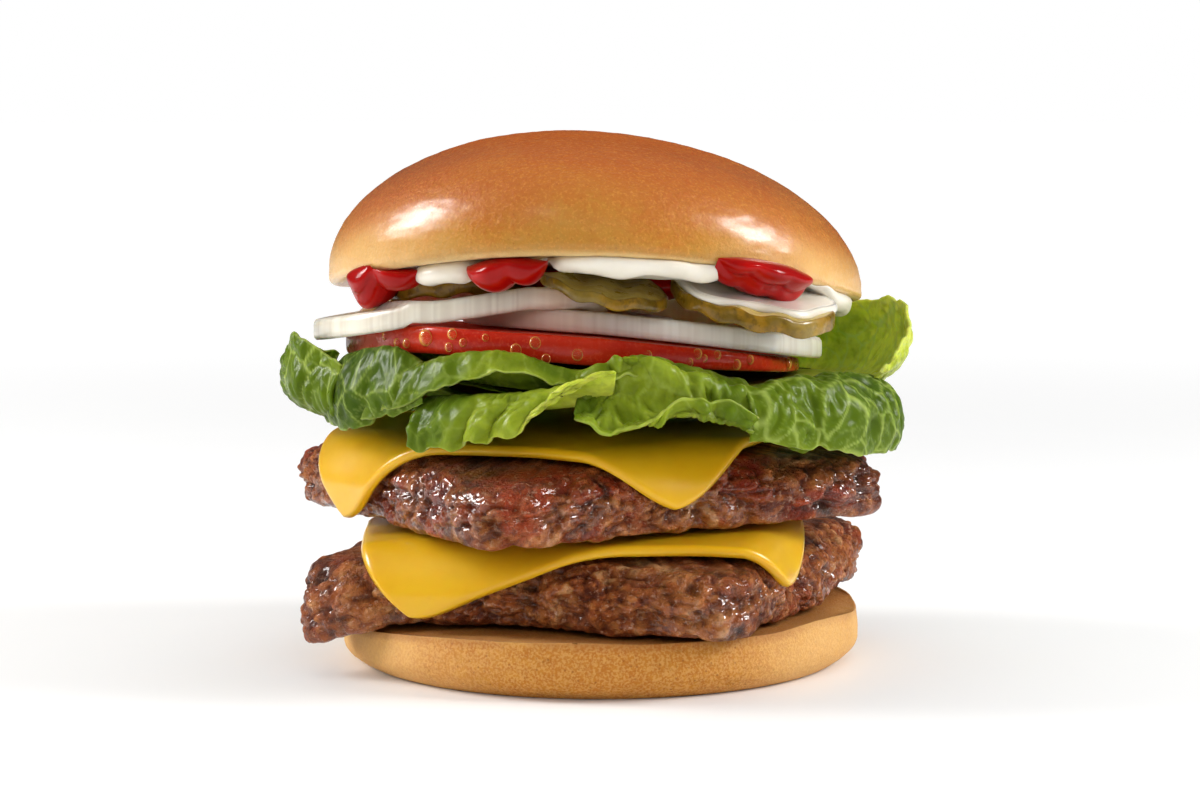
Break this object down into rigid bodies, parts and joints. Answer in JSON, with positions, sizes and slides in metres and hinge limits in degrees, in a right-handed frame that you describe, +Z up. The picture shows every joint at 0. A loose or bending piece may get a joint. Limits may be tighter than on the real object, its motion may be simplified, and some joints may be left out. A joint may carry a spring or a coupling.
{
  "type": "double cheeseburger",
  "caption": "Round bun filled with square beef patties, melted cheese slices, lettuce leaves, tomato, onion rings, crinkle-cut pickles, ketchup and mayonnaise",
  "frame": {"origin": "middle of the heel bun's flat base, where it rests on the table", "axes": "+Z up, -Y is the front of the burger, +X is to the right seen from the front"},
  "size_m": [0.1301, 0.1202, 0.1083],
  "materials": {
    "bun_crumb": "matte toasted bread, golden tan with fine pores",
    "bun_crust": "soft glazed crust, golden brown on top and pale tan at the rim",
    "beef": "coarse moist ground beef, grey brown",
    "cheese": "smooth melted slice, warm yellow, satin",
    "lettuce": "thin crinkled leaf, yellow green to deep green, moist",
    "tomato": "wet red tomato skin with small droplets",
    "onion": "translucent white raw onion with fine fibres",
    "pickle": "wet olive green pickled cucumber",
    "ketchup": "thick glossy red sauce",
    "mayonnaise": "thick glossy creamy white sauce"
  },
  "bodies": {
    "root": {"heel_bun": "bun_crumb", "crown_bun": "bun_crust", "lower_patty": "beef", "upper_patty": "beef", "lower_cheese": "cheese", "upper_cheese": "cheese", "lettuce_left": "lettuce", "lettuce_front": "lettuce", "lettuce_middle": "lettuce", "lettuce_right": "lettuce", "lettuce_back_right": "lettuce", "lettuce_back": "lettuce", "lettuce_back_left": "lettuce", "lettuce_far_left": "lettuce", "lettuce_upper_front": "lettuce", "lettuce_rear_right": "lettuce", "lettuce_upper_back": "lettuce", "tomato_slice": "tomato", "onion_ring_right": "onion", "onion_ring_left": "onion", "pickle_right": "pickle", "pickle_middle": "pickle", "pickle_left": "pickle", "pickle_rear_right": "pickle", "ketchup_left": "ketchup", "ketchup_middle": "ketchup", "ketchup_right": "ketchup", "ketchup_back": "ketchup", "mayo": "mayonnaise"}
  },
  "joints": []
}
